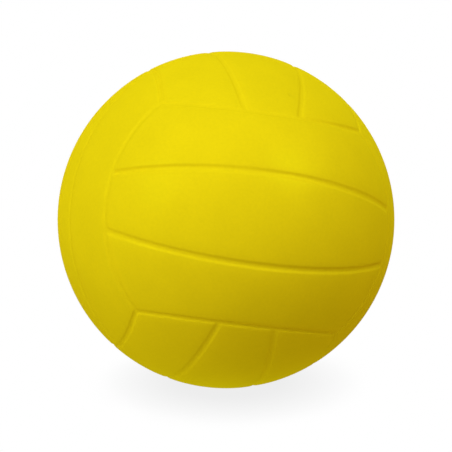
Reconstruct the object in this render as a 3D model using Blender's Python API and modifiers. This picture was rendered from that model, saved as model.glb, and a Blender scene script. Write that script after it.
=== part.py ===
"""Foam volleyball: a moulded foam core inside a bonded polyurethane skin.

The skin carries eighteen moulded panels, in six groups of three strips. Each group faces along one of
the ball's axes, and its strips end on the long borders of the neighbouring groups. Lengths are in
metres, angles in radians, +Z is up and the origin is the centre of the ball.
"""

import math

import bmesh
import bpy
from mathutils import Euler, Matrix, Vector

# Driving dimensions of the two bodies. The bond is the glue line between them.
BALL_DIAMETER = 0.2100
SKIN_THICKNESS = 0.0010
BOND_GAP = 0.0003

# Strips: the middle strip of a group narrows from its crown, measured over the surface, to its ends,
# measured straight across. Both are taken between the centre lines of the panel grooves.
MIDDLE_STRIP_WIDTH = 0.0527
MIDDLE_STRIP_END_WIDTH = 0.0335

# Grooves: a border groove runs round each group, and a panel groove lies between two strips. Each has
# a level floor and two sloping walls.
BORDER_GROOVE_WIDTH = 0.0044
BORDER_GROOVE_FLOOR = 0.0012
BORDER_GROOVE_DEPTH = 0.0008
PANEL_GROOVE_WIDTH = 0.0052
PANEL_GROOVE_FLOOR = 0.0014
PANEL_GROOVE_DEPTH = 0.0008

# Breather: a fine hole in the top group's middle strip lets the foam draw air. It is placed over the
# surface from the strip's crown, first across the strip and then along it. Its drill overruns the skin
# on both sides.
BREATHER_DIAMETER = 0.0004
BREATHER_ACROSS = -0.0162
BREATHER_ALONG = -0.0805
DRILL_OVERRUN = 0.0010

# How the ball lies: rolled a little off square.
LIE = Euler((math.radians(-12.4), math.radians(9.8), math.radians(11.5)))

# Grid steps over half a middle strip and over a whole outer strip, how sharply the steps along a strip
# gather towards its borders, and the facets of the breather.
HALF_MIDDLE_STEPS = 2
OUTER_STEPS = 3
GATHERING = 3
BREATHER_SIDES = 12
WELD_DISTANCE = 1e-6

# Finishes, with linear colours.
SKIN_COLOUR = (0.84, 0.68, 0.005, 1.0)
SKIN_ROUGHNESS = 0.45
FOAM_COLOUR = (0.82, 0.76, 0.55, 1.0)
FOAM_ROUGHNESS = 0.95

RADIUS = BALL_DIAMETER / 2

# The border planes stand square to the ball's axes and meet in threes on the diagonals of a cube.
BORDER_LATITUDE = math.asin(1 / math.sqrt(3))
BORDER_SHOULDER = BORDER_GROOVE_WIDTH / 2 / RADIUS
BORDER_FLOOR = BORDER_GROOVE_FLOOR / 2 / RADIUS

# A panel groove follows a circle of latitude about an axis that is tilted across the strips, so that
# it passes through the edge of the middle strip at its crown and at its end on the border.
PANEL_SHOULDER = PANEL_GROOVE_WIDTH / 2 / RADIUS
PANEL_FLOOR = PANEL_GROOVE_FLOOR / 2 / RADIUS
CROWN_ANGLE = MIDDLE_STRIP_WIDTH / 2 / RADIUS
PANEL_TILT = math.atan2(
    math.sin(CROWN_ANGLE) - MIDDLE_STRIP_END_WIDTH / 2 / RADIUS,
    math.cos(CROWN_ANGLE) - math.sin(BORDER_LATITUDE),
)
PANEL_LATITUDE = CROWN_ANGLE - PANEL_TILT


def circle_point(tilt, latitude, swing):
    """Point of the unit ball on a tilted circle: x along the strips, y across them, z outwards."""
    outwards = math.cos(latitude) * math.cos(swing)
    return Vector((
        math.cos(latitude) * math.sin(swing),
        math.sin(latitude) * math.cos(tilt) + outwards * math.sin(tilt),
        outwards * math.cos(tilt) - math.sin(latitude) * math.sin(tilt),
    ))


def swing_to_height(tilt, latitude, height):
    """Swing at which a tilted circle comes down to a height over the middle of the ball."""
    rise = height + math.sin(latitude) * math.sin(tilt)
    return math.acos(rise / (math.cos(latitude) * math.cos(tilt)))


def steps_between(start, end, steps):
    """(tilt, latitude) pairs at the ends of equal steps from start to end."""
    shares = [step / steps for step in range(1, steps + 1)]
    return [tuple(a + (b - a) * share for a, b in zip(start, end)) for share in shares]


def lines_across():
    """(tilt, latitude) of a group's grid lines, from one long border to the other."""
    middle = (0.0, 0.0)
    inner_shoulder = (PANEL_TILT, PANEL_LATITUDE - PANEL_SHOULDER)
    outer_shoulder = (PANEL_TILT, PANEL_LATITUDE + PANEL_SHOULDER)
    border_shoulder = (0.0, BORDER_LATITUDE - BORDER_SHOULDER)
    upper = steps_between(middle, inner_shoulder, HALF_MIDDLE_STEPS)
    upper += [(PANEL_TILT, PANEL_LATITUDE + edge) for edge in (-PANEL_FLOOR, PANEL_FLOOR)]
    upper += [outer_shoulder]
    upper += steps_between(outer_shoulder, border_shoulder, OUTER_STEPS)
    upper += [(0.0, BORDER_LATITUDE - BORDER_FLOOR), (0.0, BORDER_LATITUDE)]
    lower = [(-tilt, -latitude) for tilt, latitude in reversed(upper)]
    return lower + [middle] + upper


def swings_on_border(lines):
    """Swings on a long border at which the neighbouring group's grid lines arrive."""
    swings = []
    for tilt, latitude in lines:
        end = swing_to_height(tilt, latitude, math.sin(BORDER_LATITUDE))
        across = circle_point(tilt, latitude, end).y
        swings.append(math.asin(across / math.cos(BORDER_LATITUDE)))
    return swings


def swings_inside(tilt, latitude, on_border):
    """Swings on a line inside a group: even over the crown, gathered as on the border beside it."""
    heights = [BORDER_LATITUDE + edge for edge in (0.0, BORDER_FLOOR, BORDER_SHOULDER)]
    ends = [swing_to_height(tilt, latitude, math.sin(height)) for height in heights]
    shoulder = len(ends) - 1
    last = len(on_border) - 1 - shoulder
    nearness = abs(tilt + latitude) / (BORDER_LATITUDE - BORDER_SHOULDER)
    gathering = min(1.0, nearness) ** GATHERING
    between = []
    for index in range(shoulder + 1, last):
        even = 2 * (index - shoulder) / (last - shoulder) - 1
        gathered = on_border[index] / on_border[last]
        between.append(ends[shoulder] * (even + gathering * (gathered - even)))
    return [-end for end in ends] + between + ends[::-1]


def group_rows():
    """Points of one group on the unit ball, in rows along its strips."""
    lines = lines_across()
    on_border = swings_on_border(lines)
    swings = [swings_inside(*line, on_border) for line in lines[1:-1]]
    swings = [on_border] + swings + [on_border]
    return [[circle_point(*line, swing) for swing in row] for line, row in zip(lines, swings)]


def groove_share(distance, width, floor):
    """Share of a groove's depth at a distance from its centre line."""
    wall = (width - floor) / 2
    return min(1.0, max(0.0, (width / 2 - distance) / wall))


def groove_depth(point):
    """Depth below the ball at a point of a group, with the panel grooves running out into the border."""
    across = abs(point.y)
    outwards = min(1.0, point.z)
    to_side = RADIUS * (BORDER_LATITUDE - math.asin(across))
    to_end = RADIUS * (math.asin(outwards) - BORDER_LATITUDE)
    outside = 1.0
    for distance in (to_side, to_end):
        outside *= 1 - groove_share(distance, BORDER_GROOVE_WIDTH, BORDER_GROOVE_FLOOR)
    latitude = math.asin(across * math.cos(PANEL_TILT) - outwards * math.sin(PANEL_TILT))
    to_panel = RADIUS * abs(latitude - PANEL_LATITUDE)
    panel = groove_share(to_panel, PANEL_GROOVE_WIDTH, PANEL_GROOVE_FLOOR)
    return BORDER_GROOVE_DEPTH * (1 - outside) + PANEL_GROOVE_DEPTH * panel * outside


def group_turn(outwards, along):
    """Rotation that carries a group, laid out along x and facing z, to a side of the ball."""
    return Matrix((along, outwards.cross(along), outwards)).transposed()


def group_turns():
    """Rotations to the six sides: each group's strips run along the axis before its own."""
    axes = [Vector(row) for row in Matrix.Identity(3)]
    turns = []
    for index, axis in enumerate(axes):
        turns += [group_turn(outwards, axes[index - 1]) for outwards in (axis, -axis)]
    return turns


def panelled_surface(inset):
    """Closed panelled surface of the ball, moved in along its normals by an even inset."""
    rows = group_rows()
    rows = [[point * (RADIUS - groove_depth(point)) for point in row] for row in rows]
    steps = len(rows) - 1
    surface = bmesh.new()
    for turn in group_turns():
        grid = bmesh.ops.create_grid(surface, x_segments=steps, y_segments=steps, size=1.0)
        for vert in grid["verts"]:
            column, row = (round((place + 1) * steps / 2) for place in vert.co.xy)
            vert.co = turn @ rows[row][column]
    bmesh.ops.remove_doubles(surface, verts=surface.verts, dist=WELD_DISTANCE)
    bmesh.ops.recalc_face_normals(surface, faces=surface.faces)
    surface.normal_update()
    moves = [vert.normal * inset * vert.calc_shell_factor() for vert in surface.verts]
    for vert, move in zip(surface.verts, moves):
        vert.co -= move
    return surface


def breather_drill():
    """Slim cylinder that passes right through the skin at the breather."""
    top_group = group_turn(Vector((0, 0, 1)), Vector((0, 1, 0)))
    outwards = top_group @ circle_point(BREATHER_ACROSS / RADIUS, 0.0, BREATHER_ALONG / RADIUS)
    place = Matrix.Translation(outwards * (RADIUS - SKIN_THICKNESS / 2))
    drill = bmesh.new()
    bmesh.ops.create_cone(
        drill,
        cap_ends=True,
        segments=BREATHER_SIDES,
        radius1=BREATHER_DIAMETER / 2,
        radius2=BREATHER_DIAMETER / 2,
        depth=SKIN_THICKNESS + 2 * DRILL_OVERRUN,
        matrix=place @ outwards.to_track_quat("Z", "Y").to_matrix().to_4x4(),
    )
    return drill


def finish(name, colour, roughness):
    """Plain non-metallic material."""
    material = bpy.data.materials.new(name)
    material.use_nodes = True
    shader = material.node_tree.nodes["Principled BSDF"]
    shader.inputs["Base Color"].default_value = colour
    shader.inputs["Roughness"].default_value = roughness
    shader.inputs["Metallic"].default_value = 0.0
    return material


def new_collection(name):
    collection = bpy.data.collections.new(name)
    bpy.context.scene.collection.children.link(collection)
    return collection


def new_piece(name, shape, collection, ball):
    """Object made from a bmesh, shaded smooth and carried by the ball's empty."""
    mesh = bpy.data.meshes.new(name)
    shape.to_mesh(mesh)
    shape.free()
    mesh.shade_smooth()
    piece = bpy.data.objects.new(name, mesh)
    piece.parent = ball
    collection.objects.link(piece)
    return piece


def make_core(collection, ball):
    """Foam body, moulded with the same grooves one skin and one bond below the surface."""
    core = new_piece("foam_core", panelled_surface(SKIN_THICKNESS + BOND_GAP), collection, ball)
    core.data.materials.append(finish("foam", FOAM_COLOUR, FOAM_ROUGHNESS))
    return core


def make_skin(collection, cutters, ball):
    """Coat of even thickness over the whole ball, with the breather drilled through it."""
    skin = new_piece("skin", panelled_surface(0.0), collection, ball)
    skin.data.materials.append(finish("skin_coat", SKIN_COLOUR, SKIN_ROUGHNESS))
    coat = skin.modifiers.new("coat", "SOLIDIFY")
    coat.thickness = SKIN_THICKNESS
    coat.offset = -1.0
    coat.use_even_offset = True
    drill = new_piece("breather_drill", breather_drill(), cutters, ball)
    drill.display_type = "WIRE"
    drill.hide_render = True
    breather = skin.modifiers.new("breather", "BOOLEAN")
    breather.operation = "DIFFERENCE"
    breather.object = drill
    return skin


def main():
    for old in list(bpy.data.objects):
        bpy.data.objects.remove(old)
    collection = new_collection("foam_volleyball")
    cutters = new_collection("cutters")
    ball = bpy.data.objects.new("ball", None)
    ball.rotation_euler = LIE
    collection.objects.link(ball)
    make_core(collection, ball)
    make_skin(collection, cutters, ball)


main()
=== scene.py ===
"""Foam volleyball: the looks of the ball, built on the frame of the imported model.

The skin is one seamless coat with eighteen moulded panels, in six groups of three strips. Its grooves, the
soft roll of the panels towards them and the vent mark are modelled here at full detail, over the foam body
that fills the ball. Lengths are in metres, and angles in radians unless a comment says degrees.
"""

import math
from collections import namedtuple

import bmesh
import bpy
from mathutils import Euler, Matrix, Vector, noise


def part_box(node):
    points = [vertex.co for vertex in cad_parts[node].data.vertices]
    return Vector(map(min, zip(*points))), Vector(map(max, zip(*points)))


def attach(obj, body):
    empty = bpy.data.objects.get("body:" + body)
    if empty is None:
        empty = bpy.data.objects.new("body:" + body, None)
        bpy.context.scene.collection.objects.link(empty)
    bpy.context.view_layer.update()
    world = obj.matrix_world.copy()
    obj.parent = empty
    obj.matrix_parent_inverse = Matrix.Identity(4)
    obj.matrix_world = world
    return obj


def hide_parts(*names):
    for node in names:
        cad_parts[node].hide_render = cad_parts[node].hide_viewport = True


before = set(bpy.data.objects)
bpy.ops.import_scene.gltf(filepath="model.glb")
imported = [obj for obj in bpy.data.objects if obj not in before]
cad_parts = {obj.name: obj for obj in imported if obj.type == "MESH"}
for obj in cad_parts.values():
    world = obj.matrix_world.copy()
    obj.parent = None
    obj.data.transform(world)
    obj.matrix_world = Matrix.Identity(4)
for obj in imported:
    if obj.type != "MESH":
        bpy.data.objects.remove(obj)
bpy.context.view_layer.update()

# The ball. Its radius comes from the frame: grooves can only make it look smaller, so its widest side is
# the diameter. The coat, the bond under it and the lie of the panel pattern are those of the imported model.
SKIN_LOW, SKIN_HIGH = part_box("skin")
RADIUS = max(SKIN_HIGH - SKIN_LOW) / 2
SKIN_THICKNESS = 0.0010
BOND_GAP = 0.0003
LIE = Euler((math.radians(-12.4), math.radians(9.8), math.radians(11.5)))

# Strips: the width of a group's middle strip at its crown and straight across at its ends.
MIDDLE_STRIP_WIDTH = 0.0530
MIDDLE_STRIP_END_WIDTH = 0.0327

# Grooves: overall width, width of the floor, depth, and the wide, shallow roll of the panels beside them.
Groove = namedtuple("Groove", "width floor depth roll_width roll_depth")
BORDER_GROOVE = Groove(0.0044, 0.0008, 0.00088, 0.0100, 0.00006)
PANEL_GROOVE = Groove(0.0052, 0.0009, 0.00078, 0.0150, 0.00014)

# Uneven grooves, in shares of their depth. Panel grooves: the shares in the groups that face along and
# against x, y and z. Border grooves: the shares where they run along x, y and z, on the front and on the
# back of the ball, and how widely these blend where borders meet. Round one place the panel grooves run
# deeper, and round another the border grooves run shallower, out to an angle from it with a given cosine.
PANEL_DEPTH_SHARES = ((0.80, 0.48), (0.90, 0.90), (0.66, 0.66))
FRONT_BORDER_SHARES = (1.0, 0.75, 0.42)
BACK_BORDER_SHARES = (1.0, 0.90, 0.90)
CORNER_BLEND = 0.03
DEEP_PLACE = Vector((-0.75, -0.58, 0.32)).normalized()
DEEP_SHARE = 1.55
DEEP_EDGE = 0.90
SHALLOW_PLACE = Vector((-0.14, -0.80, 0.59)).normalized()
SHALLOW_SHARE = 0.40
SHALLOW_EDGE = 0.78

# Waves: height and length of the faint unevenness of the skin.
WAVE_HEIGHT = 0.00005
WAVE_LENGTH = 0.026

# Vent: a pinhole in a shallow dimple of the top group's middle strip, placed by lengths over the surface
# from the strip's crown, with the colour a little darker round it. A patch of the grid there gives way to
# rings that close in on it.
VENT_ACROSS = -0.0162
VENT_ALONG = -0.0805
VENT_DIAMETER = 0.0003
DIMPLE_DIAMETER = 0.0044
DIMPLE_DEPTH = 0.00012
DARKER_SPOT_DIAMETER = 0.0048
DARKER_SPOT_TONE = 0.94
PATCH_DIAMETER = 0.0085
WIDEST_RING_DIAMETER = 0.0063
VENT_RINGS = 7
VENT_SIDES = 24

# Grid steps over half a middle strip, a panel groove, an outer strip and half a border groove, how sharply
# the steps along a strip gather towards its borders, and the distance within which points are welded.
Steps = namedtuple("Steps", "half_middle groove outer half_border")
FINE = Steps(12, 14, 12, 7)
PLAIN = Steps(6, 6, 6, 3)
GATHERING = 3
WELD_DISTANCE = 1e-6

# Noise: the range that one mostly keeps to, the range that the sum of two does, and the usual detail.
NOISE_RANGE = (0.3, 0.7)
NOISE_SUM_RANGE = (0.7, 1.3)
NOISE_DETAIL = 2.0

# Skin: its linear colour and the darkest and brightest tone of it, the sizes of its mottle, clouds and
# grain, its roughness, and the share of a metal's reflection that gives it a sheen of its own colour.
SKIN_COLOUR = (0.84, 0.68, 0.005)
SKIN_TONES = (0.976, 1.024)
MOTTLE_LENGTH = 0.0016
CLOUD_LENGTH = 0.024
GRAIN_LENGTH = 0.0009
GRAIN_DETAIL = 3.0
GRAIN_HEIGHT = 0.00006
GRAIN_STRENGTH = 0.25
SKIN_ROUGHNESS = (0.285, 0.335)
SKIN_SHEEN = 0.04

# Foam: its linear colour and the tone of the shade painted into the sunken places between the cells, the
# sizes of cells and clouds, and its roughness.
FOAM_COLOUR = (0.82, 0.76, 0.55)
FOAM_SHADE_TONE = 0.72
CELL_LENGTH = 0.0011
CELL_HEIGHT = 0.0004
CELL_STRENGTH = 0.8
FOAM_CLOUD_LENGTH = 0.012
FOAM_ROUGHNESS = (0.88, 0.98)

# Camera: the photograph's frame is square. The view comes from the front, a little above the ball.
CAMERA_ELEVATION = math.radians(12.5)
CAMERA_DISTANCE = 8.4 * RADIUS
CAMERA_LENS = 111.9
AIM_BELOW_CENTRE = 0.0039

# Soft boxes: where each stands as seen from the ball, in degrees round from the camera to the right and up
# from the horizon, its size, the share of a full light that it gives, its tint, and whether it is for the
# sheen. Those for the sheen show in the ball's sheen alone, and the others only light the ball.
SoftBox = namedtuple("SoftBox", "azimuth elevation size level tint sheen")
BOX_DISTANCE = 1.6
WHITE = (1.0, 1.0, 1.0)
COOL = (0.64, 1.0, 1.0)
SOFT_BOXES = {
    "key_left": SoftBox(-30, 50, 1.15, 0.61, WHITE, False),
    "key_right": SoftBox(65, 45, 1.15, 0.475, WHITE, False),
    "low_left": SoftBox(-60, 5, 1.15, 0.38, WHITE, False),
    "back_left": SoftBox(-150, 14, 1.15, 0.42, WHITE, False),
    "back_right": SoftBox(168, 23, 1.15, 0.36, WHITE, False),
    "rim_right": SoftBox(147, 2, 0.60, 0.27, COOL, False),
    "sheen_left": SoftBox(-51, 27, 0.60, 0.085, COOL, True),
    "sheen_right": SoftBox(54, 38, 0.60, 0.14, COOL, True),
}

# Floor: its light on the ball, which changes from left to right over a length and is brighter within a
# distance of the ball.
FLOOR_SIZE = 40.0
FLOOR_LIGHT_LEFT = (0.51, 0.475, 0.42)
FLOOR_LIGHT_RIGHT = (0.46, 0.30, 0.20)
FLOOR_LIGHT_LENGTH = 0.5
FLOOR_LIGHT_NEAR = (0.21, 0.36, 0.10)
FLOOR_LIGHT_DISTANCE = 0.15

# Shadow seen on the floor: its greatest darkness, how far its light leans to the left, how far away the
# ball still hides the sky, the open shares of the sky at which the shadow is deepest and at which it ends,
# and how it fades between them.
SHADOW_DARKNESS = 0.153
SHADOW_LEAN = 0.05
SHADOW_REACH = 4 * RADIUS
SHADOW_DEEPEST = 0.14
SHADOW_END = 0.52
SHADOW_FADE = 0.8
SHADOW_SAMPLES = 32

# The pattern's lines are circles on the ball, given by angles seen from its middle. The circle of a panel
# groove is tilted, so that the middle strip narrows from its crown to its ends.
BORDER_LATITUDE = math.asin(1 / math.sqrt(3))
BORDER_SHOULDER = BORDER_GROOVE.width / 2 / RADIUS
PANEL_SHOULDER = PANEL_GROOVE.width / 2 / RADIUS
CROWN_ANGLE = MIDDLE_STRIP_WIDTH / 2 / RADIUS
PANEL_TILT = math.atan2(
    math.sin(CROWN_ANGLE) - MIDDLE_STRIP_END_WIDTH / 2 / RADIUS,
    math.cos(CROWN_ANGLE) - math.sin(BORDER_LATITUDE),
)
PANEL_LATITUDE = CROWN_ANGLE - PANEL_TILT


# Panel pattern

def circle_point(tilt, latitude, swing):
    """Point of the unit ball on a tilted circle: x along the strips, y across them, z outwards."""
    outwards = math.cos(latitude) * math.cos(swing)
    return Vector((
        math.cos(latitude) * math.sin(swing),
        math.sin(latitude) * math.cos(tilt) + outwards * math.sin(tilt),
        outwards * math.cos(tilt) - math.sin(latitude) * math.sin(tilt),
    ))


def swing_to_height(tilt, latitude, height):
    """Swing at which a tilted circle comes down to a height over the middle of the ball."""
    rise = height + math.sin(latitude) * math.sin(tilt)
    return math.acos(rise / (math.cos(latitude) * math.cos(tilt)))


def steps_between(start, end, steps):
    """(tilt, latitude) pairs at the ends of equal steps from start to end."""
    shares = [step / steps for step in range(1, steps + 1)]
    return [tuple(a + (b - a) * share for a, b in zip(start, end)) for share in shares]


def lines_across(steps):
    """(tilt, latitude) of a group's grid lines, from one long border to the other."""
    middle = (0.0, 0.0)
    inner_shoulder = (PANEL_TILT, PANEL_LATITUDE - PANEL_SHOULDER)
    outer_shoulder = (PANEL_TILT, PANEL_LATITUDE + PANEL_SHOULDER)
    border_shoulder = (0.0, BORDER_LATITUDE - BORDER_SHOULDER)
    border = (0.0, BORDER_LATITUDE)
    upper = steps_between(middle, inner_shoulder, steps.half_middle)
    upper += steps_between(inner_shoulder, outer_shoulder, steps.groove)
    upper += steps_between(outer_shoulder, border_shoulder, steps.outer)
    upper += steps_between(border_shoulder, border, steps.half_border)
    lower = [(-tilt, -latitude) for tilt, latitude in reversed(upper)]
    return lower + [middle] + upper


def swings_on_border(lines):
    """Swings on a long border at which the neighbouring group's grid lines arrive."""
    swings = []
    for tilt, latitude in lines:
        end = swing_to_height(tilt, latitude, math.sin(BORDER_LATITUDE))
        across = circle_point(tilt, latitude, end).y
        swings.append(math.asin(across / math.cos(BORDER_LATITUDE)))
    return swings


def swings_inside(tilt, latitude, on_border, shoulder):
    """Swings on a line inside a group: even over the crown, gathered as on the border beside it."""
    heights = [BORDER_LATITUDE + BORDER_SHOULDER * step / shoulder for step in range(shoulder + 1)]
    ends = [swing_to_height(tilt, latitude, math.sin(height)) for height in heights]
    last = len(on_border) - 1 - shoulder
    nearness = abs(tilt + latitude) / (BORDER_LATITUDE - BORDER_SHOULDER)
    gathering = min(1.0, nearness) ** GATHERING
    between = []
    for index in range(shoulder + 1, last):
        even = 2 * (index - shoulder) / (last - shoulder) - 1
        gathered = on_border[index] / on_border[last]
        between.append(ends[shoulder] * (even + gathering * (gathered - even)))
    return [-end for end in ends] + between + ends[::-1]


def group_rows(steps):
    """Points of one group on the unit ball, in rows along its strips."""
    lines = lines_across(steps)
    on_border = swings_on_border(lines)
    swings = [swings_inside(*line, on_border, steps.half_border) for line in lines[1:-1]]
    swings = [on_border] + swings + [on_border]
    return [[circle_point(*line, swing) for swing in row] for line, row in zip(lines, swings)]


def group_turn(outwards, along):
    """Rotation that carries a group, laid out along x and facing z, to a side of the ball."""
    return Matrix((along, outwards.cross(along), outwards)).transposed()


def groups():
    """Rotation and panel groove share of each group, along and against x, y and z.

    A group's strips run along the axis before the one that it faces.
    """
    axes = [Vector(row) for row in Matrix.Identity(3)]
    placed = []
    for index, axis in enumerate(axes):
        for outwards, share in zip((axis, -axis), PANEL_DEPTH_SHARES[index]):
            placed.append((group_turn(outwards, axes[index - 1]), share))
    return placed


TOP_GROUP = 4
TOP_TURN, TOP_SHARE = groups()[TOP_GROUP]
VENT = TOP_TURN @ circle_point(VENT_ACROSS / RADIUS, 0.0, VENT_ALONG / RADIUS)


# Relief

def smooth_step(share):
    """Share held between 0 and 1, with a smooth start and end."""
    share = min(1.0, max(0.0, share))
    return share * share * (3 - 2 * share)


def hollow(distance, width, floor):
    """Share of a groove's depth at a distance from its centre line, with rounded floor and shoulders."""
    return smooth_step((width / 2 - distance) / ((width - floor) / 2))


def groove_depth(point, border_share, panel_share):
    """Depth below the ball at a point of a group, with the panel grooves running out into the border."""
    across = abs(point.y)
    outwards = min(1.0, point.z)
    to_side = RADIUS * (BORDER_LATITUDE - math.asin(across))
    to_end = RADIUS * (math.asin(outwards) - BORDER_LATITUDE)
    latitude = math.asin(across * math.cos(PANEL_TILT) - outwards * math.sin(PANEL_TILT))
    to_panel = RADIUS * abs(latitude - PANEL_LATITUDE)
    open_border = 1.0
    open_roll = 1.0
    for distance in (to_side, to_end):
        open_border *= 1 - hollow(distance, BORDER_GROOVE.width, BORDER_GROOVE.floor)
        open_roll *= 1 - hollow(distance, BORDER_GROOVE.roll_width, 0.0)
    panel = hollow(to_panel, PANEL_GROOVE.width, PANEL_GROOVE.floor) * open_border
    panel_roll = hollow(to_panel, PANEL_GROOVE.roll_width, 0.0) * open_roll
    depth = border_share * BORDER_GROOVE.depth * (1 - open_border)
    depth += panel_share * PANEL_GROOVE.depth * panel
    return depth + BORDER_GROOVE.roll_depth * (1 - open_roll) + PANEL_GROOVE.roll_depth * panel_roll


def share_near(outwards, place, share, edge):
    """Share of a depth in a direction: the given share at a place, and all of it beyond the edge."""
    return 1 + (share - 1) * smooth_step((outwards.dot(place) - edge) / (1 - edge))


def border_depth_share(outwards):
    """Share of the border grooves' depth in a direction from the middle of the ball."""
    corner = math.sin(BORDER_LATITUDE)
    backness = smooth_step((outwards.y / corner + 1) / 2)
    pairs = zip(FRONT_BORDER_SHARES, BACK_BORDER_SHARES)
    shares = [front + (back - front) * backness for front, back in pairs]
    weight = CORNER_BLEND
    total = CORNER_BLEND * sum(shares) / len(shares)
    for share, place in zip(shares, outwards):
        nearness = max(0.0, corner - abs(place))
        weight += nearness
        total += nearness * share
    return total / weight * share_near(outwards, SHALLOW_PLACE, SHALLOW_SHARE, SHALLOW_EDGE)


def surface_point(point, turn, panel_share, inset):
    """Place of a group's point on the moulded surface, moved in towards the middle by an inset."""
    outwards = turn @ point
    panel_share *= share_near(outwards, DEEP_PLACE, DEEP_SHARE, DEEP_EDGE)
    depth = inset + groove_depth(point, border_depth_share(outwards), panel_share)
    depth += WAVE_HEIGHT * noise.noise(outwards * (RADIUS / WAVE_LENGTH))
    from_vent = RADIUS * (outwards - VENT).length
    depth += DIMPLE_DEPTH * hollow(from_vent, DIMPLE_DIAMETER, 0.0)
    return outwards * (RADIUS - depth)


# Meshes

def panelled_surface(steps, inset):
    """Closed panelled surface of the ball, moved in by an inset."""
    rows = group_rows(steps)
    count = len(rows) - 1
    surface = bmesh.new()
    for turn, share in groups():
        grid = bmesh.ops.create_grid(surface, x_segments=count, y_segments=count, size=1.0)
        for vert in grid["verts"]:
            column, row = (round((place + 1) * count / 2) for place in vert.co.xy)
            vert.co = surface_point(rows[row][column], turn, share, inset)
    bmesh.ops.remove_doubles(surface, verts=surface.verts, dist=WELD_DISTANCE)
    bmesh.ops.recalc_face_normals(surface, faces=surface.faces)
    return surface


def near_vent(face):
    """Whether a face lies in the patch round the vent."""
    outwards = face.calc_center_median().normalized()
    return (outwards - VENT).length < PATCH_DIAMETER / 2 / RADIUS


def open_vent(surface, inset):
    """Replaces the grid round the vent by rings that close in on the pinhole, which stays open."""
    patch = [face for face in surface.faces if near_vent(face)]
    bmesh.ops.delete(surface, geom=patch, context="FACES")
    loops = [[edge for edge in surface.edges if edge.is_boundary]]
    turn = VENT.to_track_quat("Z", "Y").to_matrix().to_4x4()
    for ring in range(VENT_RINGS + 1):
        narrowing = (WIDEST_RING_DIAMETER - VENT_DIAMETER) * ring / VENT_RINGS
        radius = (WIDEST_RING_DIAMETER - narrowing) / 2 / RADIUS
        circle = bmesh.ops.create_circle(surface, segments=VENT_SIDES, radius=radius, matrix=turn)
        for vert in circle["verts"]:
            outwards = (vert.co + VENT).normalized()
            vert.co = surface_point(TOP_TURN.transposed() @ outwards, TOP_TURN, TOP_SHARE, inset)
        loops.append(list({edge for vert in circle["verts"] for edge in vert.link_edges}))
    for outer, inner in zip(loops, loops[1:]):
        bmesh.ops.bridge_loops(surface, edges=outer + inner)


def new_piece(name, shape):
    """Object made from a bmesh in the pattern's frame, turned as the ball lies and carried by its body."""
    mesh = bpy.data.meshes.new(name)
    shape.to_mesh(mesh)
    shape.free()
    mesh.transform(LIE.to_matrix().to_4x4())
    mesh.shade_smooth()
    piece = bpy.data.objects.new(name, mesh)
    bpy.context.scene.collection.objects.link(piece)
    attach(piece, "root")
    return piece


def make_skin():
    """Coat with a fine outside and a plainer inside, joined through the vent's pinhole."""
    shell = panelled_surface(FINE, 0.0)
    open_vent(shell, 0.0)
    inside = panelled_surface(PLAIN, SKIN_THICKNESS)
    open_vent(inside, SKIN_THICKNESS)
    lining = bpy.data.meshes.new("lining")
    inside.to_mesh(lining)
    inside.free()
    shell.from_mesh(lining)
    bpy.data.meshes.remove(lining)
    bmesh.ops.bridge_loops(shell, edges=[edge for edge in shell.edges if edge.is_boundary])
    bmesh.ops.recalc_face_normals(shell, faces=shell.faces)
    skin = new_piece("moulded_skin", shell)
    skin.data.materials.append(skin_material())
    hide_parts("skin")


def make_core():
    """Foam body that fills the skin, one bond below it."""
    core = new_piece("foam_filling", panelled_surface(PLAIN, SKIN_THICKNESS + BOND_GAP))
    core.data.materials.append(foam_material())
    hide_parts("foam_core")


# Nodes

# Sockets of a Mix node for colours, by number because they share their names with others.
MIX_SHARE, MIX_FIRST, MIX_SECOND, MIX_RESULT = 0, 6, 7, 2


def new_material(name):
    """Material with nodes, and its node tree."""
    material = bpy.data.materials.new(name)
    material.use_nodes = True
    return material, material.node_tree


def add_node(tree, kind, inputs=None, **settings):
    """Node of a kind, with its settings, and its inputs set to values or linked to other sockets."""
    node = tree.nodes.new(kind)
    for key, value in settings.items():
        setattr(node, key, value)
    for key, value in (inputs or {}).items():
        if isinstance(value, bpy.types.NodeSocket):
            tree.links.new(value, node.inputs[key])
        else:
            node.inputs[key].default_value = value
    return node


def object_place(tree):
    """Place on the object, in metres."""
    return add_node(tree, "ShaderNodeTexCoord").outputs["Object"]


def noise_at(tree, place, length, detail=NOISE_DETAIL):
    """Noise from 0 to 1 with features of about a given length."""
    inputs = {"Vector": place, "Scale": 1 / length, "Detail": detail}
    return add_node(tree, "ShaderNodeTexNoise", inputs).outputs["Fac"]


def mapped(tree, value, source, target=(0.0, 1.0), curve="LINEAR"):
    """Value carried over from a source range to a target range, and held within it."""
    inputs = {"Value": value}
    inputs.update(zip(("From Min", "From Max"), source))
    inputs.update(zip(("To Min", "To Max"), target))
    return add_node(tree, "ShaderNodeMapRange", inputs, interpolation_type=curve).outputs["Result"]


def mixed_colour(tree, share, first, second):
    """Colour that goes from first to second as a share goes from 0 to 1."""
    inputs = {MIX_SHARE: share, MIX_FIRST: (*first, 1.0), MIX_SECOND: (*second, 1.0)}
    return add_node(tree, "ShaderNodeMix", inputs, data_type="RGBA").outputs[MIX_RESULT]


def bumped(tree, height, strength, distance, **settings):
    """Normal of a surface with bumps that follow a height, a distance high where that is 1."""
    inputs = {"Height": height, "Strength": strength, "Distance": distance}
    return add_node(tree, "ShaderNodeBump", inputs, **settings).outputs["Normal"]


def scaled(colour, factor):
    return tuple(channel * factor for channel in colour)


def dress(tree, colour, roughness, normal):
    """Links a colour, a roughness and a normal to the tree's shader, which it returns."""
    shader = tree.nodes["Principled BSDF"]
    for name, socket in (("Base Color", colour), ("Roughness", roughness), ("Normal", normal)):
        tree.links.new(socket, shader.inputs[name])
    return shader


# Materials

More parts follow.
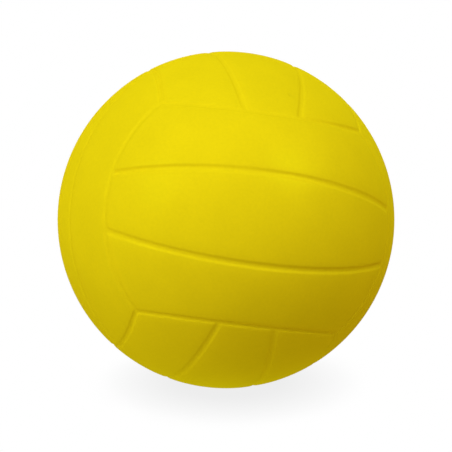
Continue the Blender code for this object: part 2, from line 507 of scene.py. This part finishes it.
def darker_round_vent(tree, place, colour):
    """Colour that is a little darker round the vent."""
    inputs = {0: place, 1: LIE.to_matrix() @ VENT * RADIUS}
    from_vent = add_node(tree, "ShaderNodeVectorMath", inputs, operation="DISTANCE").outputs["Value"]
    tone = mapped(tree, from_vent, (0.0, DARKER_SPOT_DIAMETER / 2), (DARKER_SPOT_TONE, 1.0), "SMOOTHSTEP")
    inputs = {0: colour, "Scale": tone}
    return add_node(tree, "ShaderNodeVectorMath", inputs, operation="SCALE").outputs["Vector"]


def skin_material():
    """Flexible satin polyurethane coat: yellow, finely grained, faintly mottled."""
    material, tree = new_material("yellow_skin")
    place = object_place(tree)
    mottle = noise_at(tree, place, MOTTLE_LENGTH)
    clouds = noise_at(tree, place, CLOUD_LENGTH)
    grain = noise_at(tree, place, GRAIN_LENGTH, GRAIN_DETAIL)
    both = add_node(tree, "ShaderNodeMath", {0: mottle, 1: clouds}, operation="ADD").outputs[0]
    darkest, brightest = (scaled(SKIN_COLOUR, tone) for tone in SKIN_TONES)
    colour = mixed_colour(tree, mapped(tree, both, NOISE_SUM_RANGE), darkest, brightest)
    roughness = mapped(tree, clouds, NOISE_RANGE, SKIN_ROUGHNESS)
    normal = bumped(tree, grain, GRAIN_STRENGTH, GRAIN_HEIGHT)
    shader = dress(tree, darker_round_vent(tree, place, colour), roughness, normal)
    shader.inputs["Specular IOR Level"].default_value = 0.0
    shader.inputs["Specular Tint"].default_value = (*SKIN_COLOUR, 1.0)
    shader.inputs["Metallic"].default_value = SKIN_SHEEN
    return material


def foam_material():
    """Dull open-cell foam, pale and finely pitted."""
    material, tree = new_material("cream_foam")
    place = object_place(tree)
    inputs = {"Vector": place, "Scale": 1 / CELL_LENGTH}
    cells = add_node(tree, "ShaderNodeTexVoronoi", inputs).outputs["Distance"]
    clouds = noise_at(tree, place, FOAM_CLOUD_LENGTH)
    # Painted shade: the colour darkens between the cells, where their bump pushes the surface in.
    colour = mixed_colour(tree, cells, FOAM_COLOUR, scaled(FOAM_COLOUR, FOAM_SHADE_TONE))
    roughness = mapped(tree, clouds, NOISE_RANGE, FOAM_ROUGHNESS)
    dress(tree, colour, roughness, bumped(tree, cells, CELL_STRENGTH, CELL_HEIGHT, invert=True))
    return material


# Studio

def seen_share(tree):
    """1 for a ray that shows a surface to the camera, straight or by way of gloss or glass, else 0."""
    path = add_node(tree, "ShaderNodeLightPath")
    share = path.outputs["Is Camera Ray"]
    for name in ("Is Glossy Ray", "Is Transmission Ray"):
        inputs = {0: share, 1: path.outputs[name]}
        share = add_node(tree, "ShaderNodeMath", inputs, operation="MAXIMUM").outputs[0]
    return share


def shadowed_white(tree):
    """The floor as it shows: white, with the ball's soft shadow where the ball hides the sky."""
    upwards = add_node(tree, "ShaderNodeCombineXYZ", {"X": -SHADOW_LEAN, "Z": 1.0}).outputs["Vector"]
    inputs = {"Distance": SHADOW_REACH, "Normal": upwards}
    sky = add_node(tree, "ShaderNodeAmbientOcclusion", inputs, samples=SHADOW_SAMPLES).outputs["AO"]
    inputs = {0: mapped(tree, sky, (SHADOW_END, SHADOW_DEEPEST)), 1: SHADOW_FADE}
    shadow = add_node(tree, "ShaderNodeMath", inputs, operation="POWER").outputs[0]
    shown = mapped(tree, shadow, (0.0, 1.0), (1.0, 1.0 - SHADOW_DARKNESS))
    return add_node(tree, "ShaderNodeEmission", {"Strength": shown}).outputs[0]


def floor_light(tree):
    """The floor's light on the ball: two colours from left to right, and more of it near the ball."""
    place = object_place(tree)
    across = add_node(tree, "ShaderNodeSeparateXYZ", {"Vector": place}).outputs["X"]
    to_right = mapped(tree, across, (-FLOOR_LIGHT_LENGTH / 2, FLOOR_LIGHT_LENGTH / 2))
    wide_colour = mixed_colour(tree, to_right, FLOOR_LIGHT_LEFT, FLOOR_LIGHT_RIGHT)
    wide = add_node(tree, "ShaderNodeEmission", {"Color": wide_colour}).outputs[0]
    away = add_node(tree, "ShaderNodeVectorMath", {0: place}, operation="LENGTH").outputs["Value"]
    nearness = mapped(tree, away, (FLOOR_LIGHT_DISTANCE, 0.0))
    inputs = {"Color": (*FLOOR_LIGHT_NEAR, 1.0), "Strength": nearness}
    near = add_node(tree, "ShaderNodeEmission", inputs).outputs[0]
    return add_node(tree, "ShaderNodeAddShader", {0: wide, 1: near}).outputs[0]


def floor_material():
    """Pale floor that shows white and shadowed, and lights the ball."""
    material, tree = new_material("pale_floor")
    tree.nodes.clear()
    inputs = {"Fac": seen_share(tree), 1: floor_light(tree), 2: shadowed_white(tree)}
    mix = add_node(tree, "ShaderNodeMixShader", inputs)
    add_node(tree, "ShaderNodeOutputMaterial", {"Surface": mix.outputs[0]})
    return material


def make_floor():
    grid = bmesh.new()
    bmesh.ops.create_grid(grid, x_segments=1, y_segments=1, size=FLOOR_SIZE / 2)
    mesh = bpy.data.meshes.new("floor")
    grid.to_mesh(mesh)
    grid.free()
    mesh.materials.append(floor_material())
    floor = bpy.data.objects.new("floor", mesh)
    floor.location.z = -RADIUS
    bpy.context.scene.collection.objects.link(floor)


def make_world():
    """White where it shows, and dark as a light."""
    world = bpy.data.worlds.new("studio")
    world.use_nodes = True
    bpy.context.scene.world = world
    tree = world.node_tree
    background = tree.nodes["Background"]
    tree.links.new(seen_share(tree), background.inputs["Strength"])
    background.inputs["Color"].default_value = (*WHITE, 1.0)


def direction(azimuth, elevation):
    """Unit vector from the ball, turned to the right from the camera's side and up from the horizon."""
    level = math.cos(elevation)
    return Vector((math.sin(azimuth) * level, -math.cos(azimuth) * level, math.sin(elevation)))


def make_soft_box(name, box):
    """Square lamp facing the ball, with the power that lights a white sheet there to the box's level."""
    lamp = bpy.data.lights.new(name, "AREA")
    lamp.shape = "SQUARE"
    lamp.size = box.size
    lamp.energy = box.level * (math.pi * BOX_DISTANCE) ** 2
    lamp.color = box.tint
    away = direction(math.radians(box.azimuth), math.radians(box.elevation))
    lamp_object = bpy.data.objects.new(name, lamp)
    lamp_object.location = away * BOX_DISTANCE
    lamp_object.rotation_euler = away.to_track_quat("Z", "Y").to_euler()
    lamp_object.visible_camera = False
    lamp_object.visible_diffuse = not box.sheen
    lamp_object.visible_glossy = box.sheen
    bpy.context.scene.collection.objects.link(lamp_object)


def make_camera():
    lens = bpy.data.cameras.new("camera")
    lens.lens = CAMERA_LENS
    camera = bpy.data.objects.new("camera", lens)
    camera.location = direction(0.0, CAMERA_ELEVATION) * CAMERA_DISTANCE
    aim = Vector((0.0, 0.0, -AIM_BELOW_CENTRE))
    camera.rotation_euler = (aim - camera.location).to_track_quat("-Z", "Y").to_euler()
    bpy.context.scene.collection.objects.link(camera)
    bpy.context.scene.camera = camera


make_skin()
make_core()
make_floor()
make_world()
for box_name, soft_box in SOFT_BOXES.items():
    make_soft_box(box_name, soft_box)
make_camera()
bpy.context.scene.view_settings.view_transform = "Standard"
